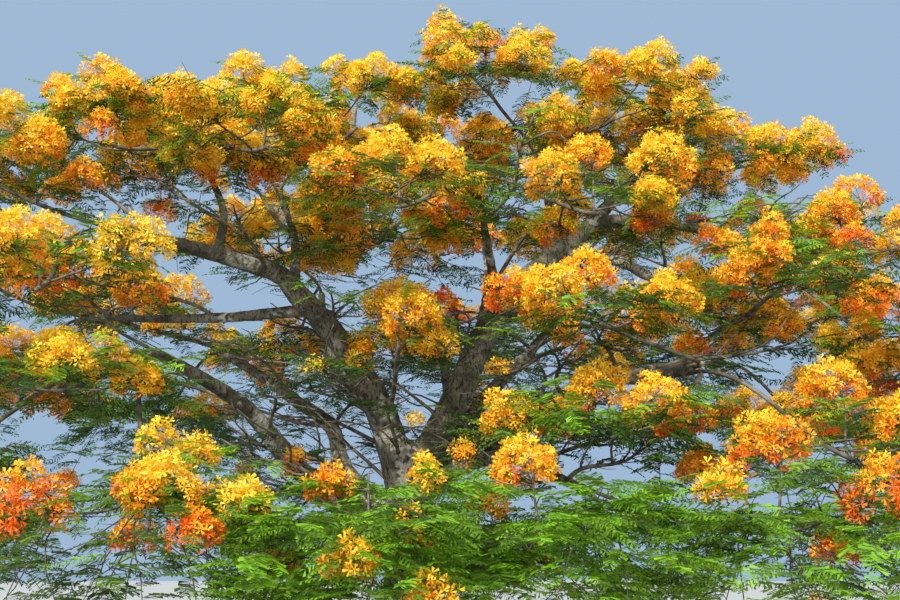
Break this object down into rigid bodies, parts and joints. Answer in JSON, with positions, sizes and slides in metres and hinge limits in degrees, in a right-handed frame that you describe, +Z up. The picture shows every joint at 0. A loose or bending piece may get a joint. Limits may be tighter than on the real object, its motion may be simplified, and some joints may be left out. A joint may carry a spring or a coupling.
{
  "type": "flame tree in flower",
  "caption": "Spreading flame tree in full orange flower, with a short flared trunk, long arching boughs and a wide umbrella crown.",
  "frame": {"origin": "middle of the flat cut under the trunk, at ground level", "axes": "+Z up, +X to the right of the picture's view, +Y away from the viewer"},
  "size_m": [14.5187, 12.9186, 8.7634],
  "materials": {
    "bark": "grey-brown bark, finely roughened, with pale mottled patches",
    "blossom_crown": "soft matt petals, golden yellow to deep orange",
    "leafy_crown": "fresh green feathery fronds, softly satin"
  },
  "bodies": {
    "root": {"trunk": "bark", "bough_left_main": "bark", "bough_right_main": "bark", "bough_left_upper": "bark", "bough_left_branch": "bark", "bough_left_riser": "bark", "bough_left_top": "bark", "bough_low_left": "bark", "bough_low_left_back": "bark", "bough_right_upper": "bark", "bough_right_outer": "bark", "bough_right_droop": "bark", "bough_centre_riser": "bark", "bough_inner_riser": "bark", "bough_front_crown": "bark", "bough_low_right": "bark", "bough_low_front": "bark", "bough_front_right": "bark", "bough_right_low": "bark", "bough_back_right": "bark", "bough_back_left": "bark", "bough_back_centre": "bark", "crown_left_upper_a": "blossom_crown", "crown_left_upper_b": "blossom_crown", "crown_left_branch_a": "blossom_crown", "crown_left_branch_b": "blossom_crown", "crown_left_riser_a": "blossom_crown", "crown_left_riser_b": "blossom_crown", "crown_left_top_a": "blossom_crown", "crown_left_top_b": "blossom_crown", "crown_low_left_a": "blossom_crown", "crown_low_left_b": "blossom_crown", "crown_low_left_c": "blossom_crown", "crown_low_left_back_a": "blossom_crown", "crown_low_left_back_b": "blossom_crown", "crown_right_upper_a": "blossom_crown", "crown_right_upper_b": "blossom_crown", "crown_right_outer_a": "blossom_crown", "crown_right_outer_b": "blossom_crown", "crown_right_droop_a": "blossom_crown", "crown_centre_riser_a": "blossom_crown", "crown_centre_riser_b": "blossom_crown", "crown_inner_riser_a": "blossom_crown", "crown_inner_riser_b": "blossom_crown", "crown_front_crown_a": "blossom_crown", "crown_front_crown_b": "blossom_crown", "crown_low_right_a": "leafy_crown", "crown_low_right_b": "blossom_crown", "crown_low_front_a": "leafy_crown", "crown_front_right_a": "blossom_crown", "crown_front_right_b": "blossom_crown", "crown_front_right_c": "blossom_crown", "crown_right_low_a": "blossom_crown", "crown_right_low_b": "blossom_crown", "crown_back_right_a": "blossom_crown", "crown_back_right_b": "blossom_crown", "crown_back_left_a": "blossom_crown", "crown_back_left_b": "blossom_crown", "crown_back_centre_a": "blossom_crown", "crown_fork": "blossom_crown"}
  },
  "joints": []
}
